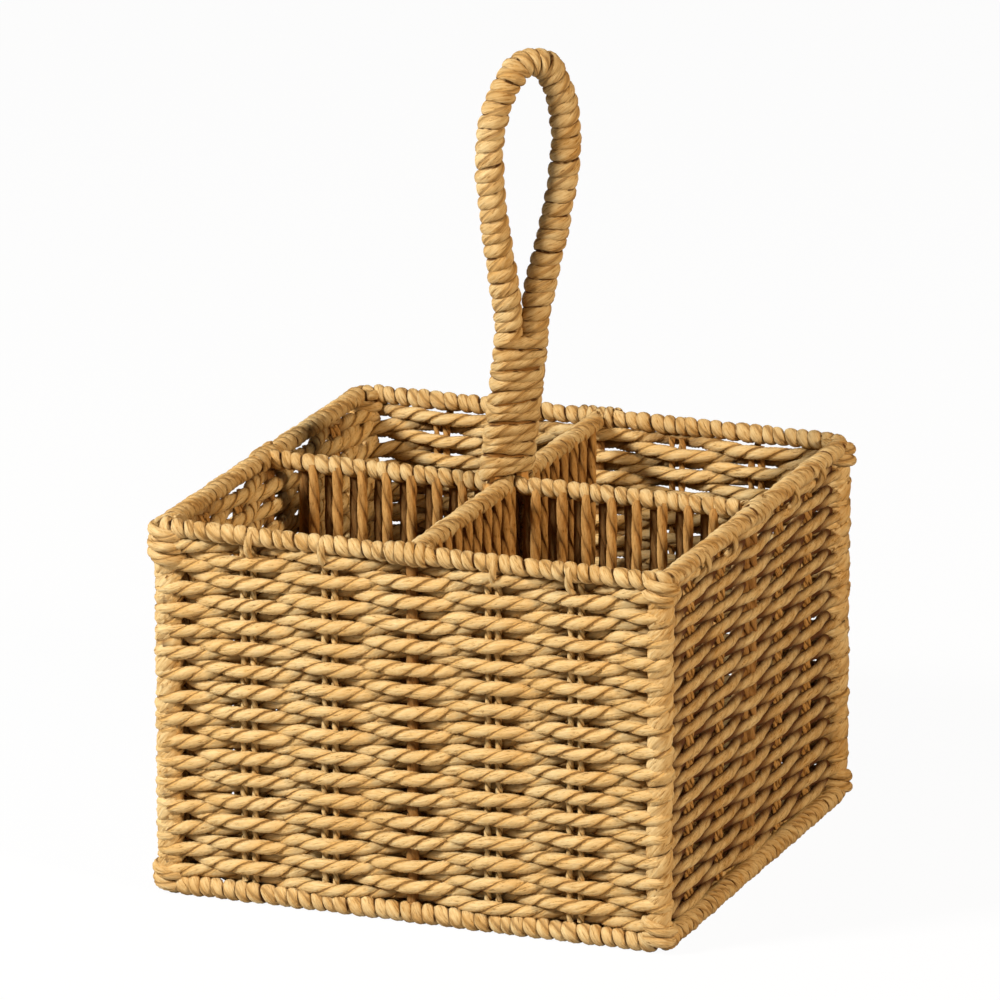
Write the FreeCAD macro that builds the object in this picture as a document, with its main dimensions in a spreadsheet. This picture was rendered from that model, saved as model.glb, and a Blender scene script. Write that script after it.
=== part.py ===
import FreeCAD, Part
import math
import os
import Sketcher

# Four-compartment utensil caddy: a welded steel wire frame, closed by twisted paper rope.
# Frame: +Z up, +X to the right along the front, +Y to the back, origin on the floor under the middle.
# Every size below is one cell of the sheet "sizes", in millimetres or degrees.

Vector = FreeCAD.Vector
Rotation = FreeCAD.Rotation
Placement = FreeCAD.Placement

SIZES = (
    # The body
    ("body_width", 216.0, "left to right over the wound rims"),
    ("body_depth", 216.0, "front to back over the wound rims"),
    ("rim_height", 153.0, "floor to the top of the wound rim"),
    ("rim_roll", 7.7, "thickness of a rim wire with its winding"),
    ("rim_corner", 7.0, "bend radius of the rim wires"),
    ("frame_wire", 3.0, "diameter of the frame wire"),
    ("wire_fit", 0.3, "room between a wire and its winding"),
    ("upright_gap", 0.2, "room between a rim's winding and the wires welded to that rim"),
    # The woven walls
    ("rope", 4.1, "thickness of the twisted rope"),
    ("row_pitch", 4.4, "height of one row of rope"),
    ("row_gap", 0.9, "gap between the lower rim's winding and the first row"),
    ("weave_play", 0.6, "room between a stake and the rope that passes it"),
    ("turn_slack", 0.8, "how much further the rope stands off a corner post than off a stake"),
    ("turn_lift", 0.15, "how far the rope climbs past its next row behind a corner post, as a share of a row"),
    ("stake_cord", 2.5, "diameter of one stake cord"),
    ("stake_pair", 4.4, "distance between the two cords of a stake"),
    ("stake_spacing", 34.0, "distance between the stakes of a wall"),
    # The dividers
    ("string_cord", 4.0, "thickness of a divider string"),
    ("string_spacing", 9.9, "distance between the strings on one side of a divider"),
    ("string_inset", 6.0, "distance between the last string and a wall's rope"),
    ("leg_fit", 0.3, "room between the dividers and the handle's legs"),
    # The base
    ("base_pitch", 4.3, "distance between the rows of the base"),
    ("base_play", 0.1, "room between the base wires and the base rope"),
    ("base_edge", 0.4, "room between the base rope and the walls"),
    # The handle
    ("handle_wire", 5.0, "diameter of the handle wire"),
    ("handle_roll", 10.8, "thickness of the handle wire with its winding"),
    ("handle_turn", 45.0, "angle of the loop's plane from the front"),
    ("handle_lean", 4.0, "lean of the stem and loop, in the loop's plane"),
    ("handle_shift", 0.2, "offset of the stem's foot, in the loop's plane"),
    ("leg_spacing", 11.4, "distance between the legs inside the stem"),
    ("leg_bend", 12.0, "bend radius where the legs spread below the stem"),
    ("leg_drop", 11.0, "how far below the rim's top the legs have spread"),
    ("stem_foot", -1.0, "height of the stem's lower end above the rim's top"),
    ("stem_length", 58.0, "length of the stem's winding"),
    ("loop_rise", 172.5, "height of the loop's top above the rim"),
    ("loop_width", 44.3, "outer width of the loop"),
    ("loop_widest", 131.0, "height above the rim where the loop is widest"),
    ("loop_flank", 120.0, "bend radius of the loop below its widest point"),
    ("loop_crown", 10.0, "bend radius of the wire at the top of the loop"),
    ("loop_split", 60.0, "bend radius where the legs part above the stem"),
    ("bend_chord", 14.0, "turn of the handle wire between one short chord and the next"),
)

doc = FreeCAD.newDocument("utensil_caddy")
sheet = doc.addObject("Spreadsheet::Sheet", "sizes")
for row, (alias, number, meaning) in enumerate(SIZES, start=1):
    sheet.set(f"A{row}", meaning)
    sheet.set(f"B{row}", str(number))
    sheet.setAlias(f"B{row}", alias)
doc.recompute()

size = {alias: float(sheet.get(alias)) for alias, number, meaning in SIZES}

# Places that several pieces share, as expressions on the sheet
HALF_WIRE = "(sizes.frame_wire / 2)"
HALF_ROLL = "(sizes.rim_roll / 2)"
RIM_LEVEL = f"(sizes.rim_height - {HALF_ROLL})"
BASE_LEVEL = HALF_ROLL
CROSS_LEVEL = f"({BASE_LEVEL} + sizes.frame_wire)"
RING_X = f"(sizes.body_width / 2 - {HALF_ROLL})"
RING_Y = f"(sizes.body_depth / 2 - {HALF_ROLL})"
CORNER_INSET = "(sizes.rim_corner * (1 - sqrt(0.5)))"
POST_X = f"({RING_X} - {CORNER_INSET})"
POST_Y = f"({RING_Y} - {CORNER_INSET})"
SLOT = f"({HALF_WIRE} + sizes.upright_gap)"
LEG_REACH = "(sizes.string_cord + sizes.handle_wire + sizes.leg_fit)"

# The same places as numbers, for the pieces whose points are worked out below
half_wire = size["frame_wire"] / 2
half_roll = size["rim_roll"] / 2
half_rope = size["rope"] / 2
half_cord = size["stake_cord"] / 2
rim_level = size["rim_height"] - half_roll
cross_level = half_roll + size["frame_wire"]
corner_inset = size["rim_corner"] * (1 - math.sqrt(0.5))
post_x = size["body_width"] / 2 - half_roll - corner_inset
post_y = size["body_depth"] / 2 - half_roll - corner_inset
weft_offset = half_rope + half_cord + size["weave_play"]
base_offset = half_rope + half_wire + size["base_play"]
floor_top = cross_level + base_offset + half_rope

SIDES = ("front", "right", "back", "left")
nodes = []


def keep(piece, label):
    """Give a finished piece its node name."""
    piece.Label = label
    nodes.append(piece)
    return piece


def bind(piece, **expressions):
    """Tie properties to the sheet. A double underscore in a keyword stands for a dot."""
    for path, expression in expressions.items():
        piece.setExpression(path.replace("__", "."), expression)


def along_wall(side):
    """Half length and distance from the middle of a wall, as expressions: ring, then post."""
    if side % 2 == 0:
        return RING_X, RING_Y, POST_X, POST_Y
    return RING_Y, RING_X, POST_Y, POST_X


# ---------------------------------------------------------------- wires

def straight_wire(label, length, x="0", y="0", z="0", axis=Vector(0, 0, 1)):
    """A straight wire from x, y, z along the axis. It has eight sides, flat to its neighbours."""
    wire = doc.addObject("Part::Prism", label)
    wire.Polygon = 8
    square_up = Rotation(Vector(0, 0, 1), 22.5)
    wire.Placement = Placement(Vector(), Rotation(Vector(0, 0, 1), axis).multiply(square_up))
    bind(wire, Circumradius=f"{HALF_WIRE} / cos(22.5 deg)", Height=length)
    bind(wire, Placement__Base__x=x, Placement__Base__y=y, Placement__Base__z=z)
    return keep(wire, label)


def origin_plane(body, role):
    return next(item for item in body.Origin.OriginFeatures if item.Role == role)


def new_sketch(body, name, role):
    sketch = body.newObject("Sketcher::SketchObject", name)
    sketch.AttachmentSupport = (origin_plane(body, role), [""])
    sketch.MapMode = "FlatFace"
    return sketch


def limit(sketch, expression, *constraint):
    """Add a dimension to a sketch and tie it to the sheet."""
    index = sketch.addConstraint(Sketcher.Constraint(*constraint))
    sketch.setExpression(f"Constraints[{index}]", expression)


def eight_sided(sketch, distance, distance_expression, radius, radius_expression):
    """An eight-sided outline round a circle, flat at the bottom, the given distance to the left."""
    flat = radius * math.tan(math.pi / 8)
    corners = [
        Vector(across - distance, up, 0)
        for across, up in (
            (-flat, -radius), (flat, -radius), (radius, -flat), (radius, flat),
            (flat, radius), (-flat, radius), (-radius, flat), (-radius, -flat),
        )
    ]
    edges = []
    for start, end in zip(corners, corners[1:] + corners[:1]):
        edges.append(sketch.addGeometry(Part.LineSegment(start, end), False))
    guide = sketch.addGeometry(Part.Circle(Vector(-distance, 0, 0), Vector(0, 0, 1), radius), True)
    for before, after in zip(edges, edges[1:] + edges[:1]):
        sketch.addConstraint(Sketcher.Constraint("Coincident", before, 2, after, 1))
    for edge in edges:
        sketch.addConstraint(Sketcher.Constraint("Tangent", edge, guide))
    for edge in edges[1:-1]:
        sketch.addConstraint(Sketcher.Constraint("Equal", edges[0], edge))
    sketch.addConstraint(Sketcher.Constraint("Horizontal", edges[0]))
    sketch.addConstraint(Sketcher.Constraint("PointOnObject", guide, 3, -1))
    if distance > 0:
        limit(sketch, distance_expression, "DistanceX", guide, 3, -1, 1, distance)
    else:
        sketch.addConstraint(Sketcher.Constraint("PointOnObject", guide, 3, -2))
    limit(sketch, radius_expression, "Radius", guide, radius)


def wire_section(sketch, distance, expression):
    eight_sided(sketch, distance, expression, half_wire, HALF_WIRE)


def winding_section(sketch, distance, expression):
    """The section of a winding: outside flat at the bottom, inside clear of the wire."""
    eight_sided(sketch, distance, expression, half_roll, HALF_ROLL)
    eight_sided(sketch, distance, expression, half_wire + size["wire_fit"], f"{HALF_WIRE} + sizes.wire_fit")


def upright_axis(sketch, distance, expression):
    """An upright construction line to the left of the middle, which a revolution turns about."""
    line = sketch.addGeometry(Part.LineSegment(Vector(-distance, 0, 0), Vector(-distance, 5, 0)), True)
    sketch.addConstraint(Sketcher.Constraint("Vertical", line))
    sketch.addConstraint(Sketcher.Constraint("PointOnObject", line, 1, -1))
    sketch.addConstraint(Sketcher.Constraint("DistanceY", line, 1, line, 2, 5))
    limit(sketch, expression, "DistanceX", line, 1, -1, 1, distance)


def mirror_in(body, name, role):
    mirror = body.newObject("PartDesign::Mirrored", name)
    mirror.MirrorPlane = (origin_plane(body, role), [""])
    return mirror


def rim_wire(label, level):
    """A closed ring of wire: a run, a bend and a side, and their mirror images."""
    distance = size["body_depth"] / 2 - half_roll
    body = doc.addObject("PartDesign::Body", label)
    run_section = new_sketch(body, f"{label}_run_section", "YZ_Plane")
    wire_section(run_section, distance, RING_Y)
    run = body.newObject("PartDesign::Pad", f"{label}_run")
    run.Profile = run_section
    bind(run, Length=f"{RING_X} - sizes.rim_corner")

    bend_section = new_sketch(body, f"{label}_bend_section", "YZ_Plane")
    wire_section(bend_section, distance, RING_Y)
    upright_axis(bend_section, distance - size["rim_corner"], f"{RING_Y} - sizes.rim_corner")
    bind(bend_section, AttachmentOffset__Base__z=f"{RING_X} - sizes.rim_corner")
    bend = body.newObject("PartDesign::Revolution", f"{label}_bend")
    bend.Profile = bend_section
    bend.ReferenceAxis = (bend_section, [f"Axis{bend_section.AxisCount - 1}"])
    bend.Angle = 90

    side_section = new_sketch(body, f"{label}_side_section", "XZ_Plane")
    wire_section(side_section, size["body_width"] / 2 - half_roll, RING_X)
    side = body.newObject("PartDesign::Pad", f"{label}_side")
    side.Profile = side_section
    bind(side, Length=f"{RING_Y} - sizes.rim_corner")
    ring = body.newObject("PartDesign::MultiTransform", f"{label}_ring")
    ring.Originals = [run, bend, side]
    ring.Transformations = [
        mirror_in(body, f"{label}_left_right", "YZ_Plane"),
        mirror_in(body, f"{label}_front_back", "XZ_Plane"),
    ]
    body.Tip = ring
    bind(body, Placement__Base__z=level)
    return keep(body, label)


def wire_frame():
    rim_wire("top_rim_wire", RIM_LEVEL)
    rim_wire("base_rim_wire", BASE_LEVEL)
    post_height = f"({RIM_LEVEL} - {BASE_LEVEL} - sizes.frame_wire)"
    post_foot = f"({BASE_LEVEL} + {HALF_WIRE})"
    for label, x, y in (
        ("corner_post_front_left", f"-{POST_X}", f"-{POST_Y}"),
        ("corner_post_front_right", POST_X, f"-{POST_Y}"),
        ("corner_post_back_right", POST_X, POST_Y),
        ("corner_post_back_left", f"-{POST_X}", POST_Y),
    ):
        straight_wire(label, post_height, x, y, post_foot)
    # The dividers end in an upright in the middle of each wall, from a base wire to the rim's level
    for label, x, y, level in (
        ("wall_stay_front", "0", f"-{POST_Y}", CROSS_LEVEL),
        ("wall_stay_right", POST_X, "0", BASE_LEVEL),
        ("wall_stay_back", "0", POST_Y, CROSS_LEVEL),
        ("wall_stay_left", f"-{POST_X}", "0", BASE_LEVEL),
    ):
        foot = f"({level} + {HALF_WIRE})"
        straight_wire(label, f"({RIM_LEVEL} - {HALF_WIRE} - {foot})", x, y, foot)
    # Top wires and the base wire that runs across butt against the rings; the long base wire lies over both
    back = Vector(0, 1, 0)
    right = Vector(1, 0, 0)
    top_x = f"({RING_X} - {HALF_WIRE})"
    top_y = f"({RING_Y} - {HALF_WIRE})"
    straight_wire("divider_wire_long", f"2 * {top_y}", y=f"-{top_y}", z=RIM_LEVEL, axis=back)
    straight_wire("divider_wire_left", f"{top_x} - {HALF_WIRE}", x=f"-{top_x}", z=RIM_LEVEL, axis=right)
    straight_wire("divider_wire_right", f"{top_x} - {HALF_WIRE}", x=HALF_WIRE, z=RIM_LEVEL, axis=right)
    straight_wire("base_wire_long", f"2 * {RING_Y}", y=f"-{RING_Y}", z=CROSS_LEVEL, axis=back)
    straight_wire("base_wire_across", f"2 * {top_x}", x=f"-{top_x}", z=BASE_LEVEL, axis=right)


# ---------------------------------------------------------------- windings on the straight wires

def winding_path(sketch, side):
    """Half of a side of a rim: a run that starts beside the slot, and a short slanted end that follows
    the wire's bend up to the corner post."""
    ring_along, ring_away, _, _ = along_wall(side)
    along = size["body_width"] if side % 2 == 0 else size["body_depth"]
    away = size["body_depth"] if side % 2 == 0 else size["body_width"]
    slot = half_wire + size["upright_gap"]
    turn = math.pi / 4 - math.asin(slot / size["rim_corner"])
    end_length = size["rim_corner"] * math.tan(turn / 2)
    knee = Vector(along / 2 - half_roll - size["rim_corner"] + end_length, half_roll - away / 2, 0)
    tip = knee + Vector(math.cos(turn), math.sin(turn), 0) * end_length
    run = sketch.addGeometry(Part.LineSegment(Vector(slot, knee.y, 0), knee), False)
    end = sketch.addGeometry(Part.LineSegment(knee, tip), False)
    half_turn = f"(45 deg - asin({SLOT} / sizes.rim_corner)) / 2"
    end_expression = f"sizes.rim_corner * tan({half_turn})"
    sketch.addConstraint(Sketcher.Constraint("Horizontal", run))
    sketch.addConstraint(Sketcher.Constraint("Coincident", run, 2, end, 1))
    limit(sketch, SLOT, "DistanceX", -1, 1, run, 1, slot)
    limit(sketch, ring_away, "DistanceY", run, 1, -1, 1, -knee.y)
    limit(sketch, f"{ring_along} - sizes.rim_corner + {end_expression}", "DistanceX", -1, 1, run, 2, knee.x)
    limit(sketch, end_expression, "Distance", end, end_length)
    limit(sketch, f"2 * {half_turn}", "Angle", end, turn)


def rim_winding(label, side, level):
    """The winding on one side of a rim: two runs that leave a slot for the wires welded in the middle."""
    _, ring_away, _, _ = along_wall(side)
    away = size["body_depth"] if side % 2 == 0 else size["body_width"]
    body = doc.addObject("PartDesign::Body", label)
    path = new_sketch(body, f"{label}_path", "XY_Plane")
    winding_path(path, side)
    section = new_sketch(body, f"{label}_section", "YZ_Plane")
    winding_section(section, away / 2 - half_roll, ring_away)
    bind(section, AttachmentOffset__Base__z=SLOT)
    run = body.newObject("PartDesign::AdditivePipe", f"{label}_run")
    run.Profile = section
    run.Spine = path
    run.Transition = "Right corner"
    pair = mirror_in(body, f"{label}_pair", "YZ_Plane")
    pair.Originals = [run]
    body.Tip = pair
    body.Placement = Placement(Vector(), Rotation(Vector(0, 0, 1), 90 * side))
    bind(body, Placement__Base__z=level)
    return keep(body, label)


def divider_winding(label, side):
    """The winding on the top wire of one divider, from the handle's legs to the rim's winding."""
    _, ring_away, _, _ = along_wall(side)
    body = doc.addObject("PartDesign::Body", label)
    section = new_sketch(body, f"{label}_section", "XZ_Plane")
    winding_section(section, 0, "0")
    bind(section, AttachmentOffset__Base__z=f"{LEG_REACH} + sizes.leg_fit")
    run = body.newObject("PartDesign::Pad", f"{label}_run")
    run.Profile = section
    bind(run, Length=f"{ring_away} - {HALF_ROLL} - {LEG_REACH} - sizes.leg_fit")
    body.Placement = Placement(Vector(), Rotation(Vector(0, 0, 1), 90 * side))
    bind(body, Placement__Base__z=RIM_LEVEL)
    return keep(body, label)


def windings():
    for side, name in enumerate(SIDES):
        rim_winding(f"rim_winding_{name}", side, RIM_LEVEL)
        rim_winding(f"base_winding_{name}", side, BASE_LEVEL)
        divider_winding(f"divider_winding_{name}", side)


# ---------------------------------------------------------------- stakes and strings

def upright_cord(name, sides, thickness, x, y, foot, height):
    """A cord that stands upright, as a prism."""
    cord = doc.addObject("Part::Prism", name)
    cord.Polygon = sides
    bind(cord, Circumradius=thickness, Height=height)
    bind(cord, Placement__Base__x=x, Placement__Base__y=y, Placement__Base__z=foot)
    return cord


def turned(side, along, outward):
    """Place on the caddy of a point that lies along a wall and outward from the middle, as expressions."""
    return (
        (f"{along}", f"-({outward})"),
        (f"{outward}", f"{along}"),
        (f"-({along})", f"{outward}"),
        (f"-({outward})", f"-({along})"),
    )[side]


def group(label, pieces):
    bundle = doc.addObject("Part::Compound", label)
    bundle.Links = pieces
    return keep(bundle, label)


def stake_steps(side):
    """How many stakes stand on each side of a wall's middle."""
    reach = post_x if side % 2 == 0 else post_y
    return int(reach / size["stake_spacing"] - 0.4)


def wall_stakes(side):
    """Pairs of cords that stand between the two rims, on both sides of the wall's stay."""
    _, _, _, post_away = along_wall(side)
    height = "sizes.rim_height - 2 * sizes.rim_roll"
    cords = []
    for step in range(1, stake_steps(side) + 1):
        for hand in (-1, 1):
            for twin in (-1, 1):
                along = f"({hand * step} * sizes.stake_spacing + {twin} * sizes.stake_pair / 2)"
                x, y = turned(side, along, post_away)
                name = f"stake_{SIDES[side]}_{len(cords)}"
                cords.append(upright_cord(name, 4, "sizes.stake_cord / 2", x, y, "sizes.rim_roll", height))
    group(f"stakes_{SIDES[side]}", cords)


def divider_strings(side):
    """Strings of one divider: they hang from its wound top wire, in turn on one side and the other."""
    reach = post_y if side % 2 == 0 else post_x
    first = size["string_cord"] + size["handle_wire"] + size["leg_fit"] + size["string_cord"]
    last = reach - weft_offset - half_rope - size["string_inset"]
    half_spacing = size["string_spacing"] / 2
    count = int((last - first) / half_spacing) + 1
    foot = f"{CROSS_LEVEL} + sizes.rope + {HALF_WIRE} + sizes.base_play"
    height = f"sizes.rim_height - sizes.rim_roll - ({foot})"
    start = f"({LEG_REACH} + sizes.string_cord)"
    cords = []
    for index in range(count):
        along_divider = f"({start} + {index} * sizes.string_spacing / 2)"
        across = f"({1 if index % 2 else -1} * sizes.string_cord / 2)"
        x, y = turned(side, across, along_divider)
        name = f"string_{SIDES[side]}_{index}"
        cords.append(upright_cord(name, 6, "sizes.string_cord / 2", x, y, foot, height))
    group(f"divider_strings_{SIDES[side]}", cords)


def uprights():
    for side in range(4):
        wall_stakes(side)
        divider_strings(side)


# ---------------------------------------------------------------- woven rope

def mitred_rod(points, upright, radius, corners):
    """A rod along the points, mitred at each of them. The section has the given number of corners on a
    circle; with four it stands on a corner, with eight it lies on a flat."""
    first_angle = 0 if corners == 4 else math.pi / corners
    reach = radius if corners == 4 else radius / math.cos(math.pi / corners)
    rings = []
    for index, point in enumerate(points):
        before = points[max(index - 1, 0)]
        after = points[min(index + 1, len(points) - 1)]
        normals = []
        for start, end in ((before, point), (point, after)):
            normal = (end - start).cross(upright)
            if normal.Length > 1e-9:
                normals.append(normal.normalize())
        out = (normals[0] + normals[-1]).normalize()
        out = out / out.dot(normals[0])
        ring = []
        for corner in range(corners):
            angle = first_angle + corner * 2 * math.pi / corners
            ring.append(point + upright * (reach * math.cos(angle)) + out * (reach * math.sin(angle)))
        rings.append(ring)
    faces = []
    for first, second in zip(rings, rings[1:]):
        for corner in range(corners):
            beside = (corner + 1) % corners
            faces += flat_faces(first[corner], first[beside], second[beside], second[corner])
    for ring in (rings[0], rings[-1]):
        faces.append(Part.Face(Part.makePolygon(ring + ring[:1])))
    shell = Part.makeShell(faces)
    shell.sewShape()
    solid = Part.makeSolid(Part.Shell(shell.Faces))
    if solid.Volume < 0:
        solid.reverse()
    return solid


def flat_faces(a, b, c, d):
    """One face through four points, or two where the points aren't in one plane."""
    normal = (c - a).cross(d - b)
    if abs((b - a).dot(normal)) < 1e-7 * normal.Length:
        return [Part.Face(Part.makePolygon([a, b, c, d, a]))]
    return [
        Part.Face(Part.makePolygon([a, b, c, a])),
        Part.Face(Part.makePolygon([a, c, d, a])),
    ]


def woven_wall(side):
    """One rope that goes back and forth between two corner posts, before one stake and behind the next.
    Where it turns back it rises by a row, and the rope of the next wall turns between its rows."""
    reach, away = (post_x, post_y) if side % 2 == 0 else (post_y, post_x)
    steps = stake_steps(side)
    stakes = [step * size["stake_spacing"] for step in range(-steps, steps + 1)]
    bottom = size["rim_roll"] + size["row_gap"] + half_rope
    top = rim_level - half_roll - half_rope - size["wire_fit"]
    rows = int((top - bottom) / size["row_pitch"] + 0.5) + 1
    pitch = (top - bottom) / (rows - 1)
    lift = size["turn_lift"] * pitch
    outside = -away - weft_offset
    inside = -away + weft_offset
    far = reach + weft_offset
    before = outside - size["turn_slack"]
    behind = inside + size["turn_slack"]
    points = []
    for row in range(rows):
        level = bottom + row * pitch
        outer = (row + side) % 2 == 0
        if row == 0:
            points.append(Vector(-reach, before, level) if outer else Vector(reach, behind, level))
        run = []
        for index, place in enumerate(stakes):
            front = (index % 2 == 1) == outer
            run.append(Vector(place, outside if front else inside, level))
        points += run if outer else reversed(run)
        last = row == rows - 1
        if outer:
            points.append(Vector(reach if last else far, before, level))
            if not last:
                points.append(Vector(far, behind, level - (0 if row == 0 else lift)))
        elif last:
            points.append(Vector(-reach, behind, level))
        else:
            rise = level + pitch + (0 if row == rows - 2 else lift)
            points.append(Vector(-far, behind, rise))
            points.append(Vector(-far, before, level + pitch))
    wall = doc.addObject("Part::Feature", f"weave_{SIDES[side]}")
    wall.Shape = mitred_rod(points, Vector(0, 0, 1), half_rope, 4)
    wall.Placement = Placement(Vector(), Rotation(Vector(0, 0, 1), 90 * side))
    keep(wall, f"weave_{SIDES[side]}")


def base_weave():
    """Rope laid back and forth, one row over the warps and the next row under them."""
    reach_x = post_x - weft_offset - half_rope - size["base_edge"] - half_rope
    reach_y = post_y - weft_offset - half_rope - size["base_edge"] - half_rope
    half_rows = int(reach_y / size["base_pitch"] + 0.5)
    pitch = reach_y / half_rows
    points = []
    for row in range(-half_rows, half_rows + 1):
        # The row over the middle wire lies above it, and so does every second row from there
        level = cross_level + (-base_offset if row % 2 else base_offset)
        ends = [Vector(-reach_x, row * pitch, level), Vector(reach_x, row * pitch, level)]
        points += ends if row % 2 else reversed(ends)
    base = doc.addObject("Part::Feature", "base_weave")
    base.Shape = mitred_rod(points, Vector(0, 1, 0), half_rope, 4)
    keep(base, "base_weave")


def base_warps():
    """Cords that carry the base between its wires, front to back."""
    reach = f"({RING_Y} - {HALF_ROLL})"
    cords = []
    for step in range(1, stake_steps(0) + 1):
        for hand in (-1, 1):
            cord = doc.addObject("Part::Prism", f"base_warp_{len(cords)}")
            cord.Polygon = 6
            cord.Placement = Placement(Vector(), Rotation(Vector(0, 0, 1), Vector(0, 1, 0)))
            bind(cord, Circumradius="sizes.stake_cord / 2", Height=f"2 * {reach}")
            bind(cord, Placement__Base__x=f"{hand * step} * sizes.stake_spacing")
            bind(cord, Placement__Base__y=f"-{reach}", Placement__Base__z=CROSS_LEVEL)
            cords.append(cord)
    group("base_warps", cords)


def woven_rope():
    for side in range(4):
        woven_wall(side)
    base_weave()
    base_warps()


# ---------------------------------------------------------------- handle

def bent_path(corners, radii):
    """Points of a bent wire: a tangent arc of the given radius at each inner corner, in short chords."""
    points = [corners[0]]
    for before, corner, after, radius in zip(corners, corners[1:], corners[2:], radii):
        back = (before - corner).normalize()
        ahead = (after - corner).normalize()
        half_angle = back.getAngle(ahead) / 2
        cut = radius / math.tan(half_angle)
        hub = corner + (back + ahead).normalize() * (radius / math.sin(half_angle))
        middle = hub + (corner - hub).normalize() * radius
        arc = Part.Arc(corner + back * cut, middle, corner + ahead * cut).toShape()
        turned = 180 - math.degrees(2 * half_angle)
        chords = max(1, round(turned / size["bend_chord"]))
        points += [point for point in arc.discretize(chords + 1) if (point - points[-1]).Length > 0.01]
    points.append(corners[-1])
    return points


def handle_corners():
    """Corners and bend radii of the handle wire's right half, from the foot of its leg to its top.
    They lie in the loop's own plane: X across it, Z up. The stem's foot is where the lean starts."""
    pivot = Vector(size["handle_shift"], 0, size["rim_height"])
    lean = Rotation(Vector(0, 1, 0), size["handle_lean"])
    spread = (size["string_cord"] + size["handle_wire"] / 2 + size["leg_fit"]) * math.sqrt(2)
    near = size["leg_spacing"] / 2
    wide = (size["loop_width"] - size["handle_roll"]) / 2
    crown = size["loop_crown"]
    flank = size["loop_flank"]
    widest = size["loop_widest"]
    top = size["loop_rise"] - size["handle_roll"] / 2
    # The shoulder arc touches the upright tangent at the widest point and the crown arc
    climb = top - crown - widest
    shoulder = (wide ** 2 + climb ** 2 - crown ** 2) / (2 * (wide - crown))
    swing = math.atan2(climb, shoulder - wide)
    # The flank arc touches the same upright and a straight run, which parts from the stem's own line
    # just above the stem's winding. The angle of that run and its start settle in a few steps
    stem_top = size["stem_foot"] + size["stem_length"]
    flare = 0
    for _ in range(6):
        split = stem_top + 2 * size["wire_fit"] + size["loop_split"] * math.tan(flare / 2)
        across = near - (wide - flank)
        down = split - widest
        flare = -(math.atan2(down, across) + math.acos(flank / math.hypot(across, down)))
    upright = [
        (Vector(near, 0, size["stem_foot"] - size["leg_bend"] / 6), size["leg_bend"]),
        (Vector(near, 0, split), size["loop_split"]),
        (Vector(wide, 0, widest - flank * math.tan(flare / 2)), flank),
        (Vector(wide, 0, widest + shoulder * math.tan(swing / 2)), shoulder),
        (Vector(0, 0, top - crown + crown / math.sin(swing)), crown),
    ]
    return pivot, lean, spread, upright


def handle_points(whole):
    """Points of the handle's centre line: the whole wire, or the loop above the stem alone."""
    pivot, lean, spread, upright = handle_corners()
    mirror = [(Vector(-point.x, 0, point.z), radius) for point, radius in reversed(upright[:-1])]
    points = [pivot + lean.multVec(point) for point, radius in upright + mirror]
    radii = [radius for point, radius in upright + mirror]
    if not whole:
        return bent_path(points, radii[1:-1])[1:-1]
    knee = size["rim_height"] - size["leg_drop"]
    legs = [Vector(spread, 0, floor_top), Vector(spread, 0, knee)]
    far_legs = [Vector(-point.x, 0, point.z) for point in reversed(legs)]
    return bent_path(legs + points + far_legs, [size["leg_bend"]] + radii + [size["leg_bend"]])


def bent_tube(label, points, radii):
    """A bent wire, or the winding on it where there are two radii, turned to the loop's own plane."""
    rods = [mitred_rod(points, Vector(0, 1, 0), radius, 8) for radius in radii]
    tube = doc.addObject("Part::Feature", label)
    tube.Shape = rods[0] if len(rods) == 1 else rods[0].cut(rods[1])
    tube.Placement = Placement(Vector(), Rotation(Vector(0, 0, 1), size["handle_turn"]))
    return keep(tube, label)


def stem_winding():
    """Turns of cord round both legs: a flat-sided tube with round ends."""
    near = size["leg_spacing"] / 2
    body = doc.addObject("PartDesign::Body", "stem_winding")
    section = new_sketch(body, "stem_section", "XY_Plane")
    roll = size["handle_roll"] / 2
    bore = size["handle_wire"] / 2 + size["wire_fit"]
    for radius, expression in (
        (roll, "sizes.handle_roll / 2"),
        (bore, "sizes.handle_wire / 2 + sizes.wire_fit"),
    ):
        right = Part.Circle(Vector(near, 0, 0), Vector(0, 0, 1), radius)
        left = Part.Circle(Vector(-near, 0, 0), Vector(0, 0, 1), radius)
        right_arc = section.addGeometry(Part.ArcOfCircle(right, -math.pi / 2, math.pi / 2), False)
        left_arc = section.addGeometry(Part.ArcOfCircle(left, math.pi / 2, 3 * math.pi / 2), False)
        upper = Part.LineSegment(Vector(near, radius, 0), Vector(-near, radius, 0))
        lower = Part.LineSegment(Vector(-near, -radius, 0), Vector(near, -radius, 0))
        back = section.addGeometry(upper, False)
        front = section.addGeometry(lower, False)
        section.addConstraint(Sketcher.Constraint("Tangent", right_arc, 2, back, 1))
        section.addConstraint(Sketcher.Constraint("Tangent", back, 2, left_arc, 1))
        section.addConstraint(Sketcher.Constraint("Tangent", left_arc, 2, front, 1))
        section.addConstraint(Sketcher.Constraint("Tangent", front, 2, right_arc, 1))
        section.addConstraint(Sketcher.Constraint("Horizontal", back))
        section.addConstraint(Sketcher.Constraint("PointOnObject", right_arc, 3, -1))
        section.addConstraint(Sketcher.Constraint("PointOnObject", left_arc, 3, -1))
        limit(section, expression, "Radius", right_arc, radius)
        limit(section, "sizes.leg_spacing / 2", "DistanceX", -1, 1, right_arc, 3, near)
        limit(section, "sizes.leg_spacing / 2", "DistanceX", left_arc, 3, -1, 1, near)
    turns = body.newObject("PartDesign::Pad", "stem_turns")
    turns.Profile = section
    bind(turns, Length="sizes.stem_length")
    pivot, lean, _, _ = handle_corners()
    foot = pivot + lean.multVec(Vector(0, 0, size["stem_foot"]))
    turn = Rotation(Vector(0, 0, 1), size["handle_turn"])
    body.Placement = Placement(turn.multVec(foot), turn.multiply(lean))
    keep(body, "stem_winding")


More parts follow.
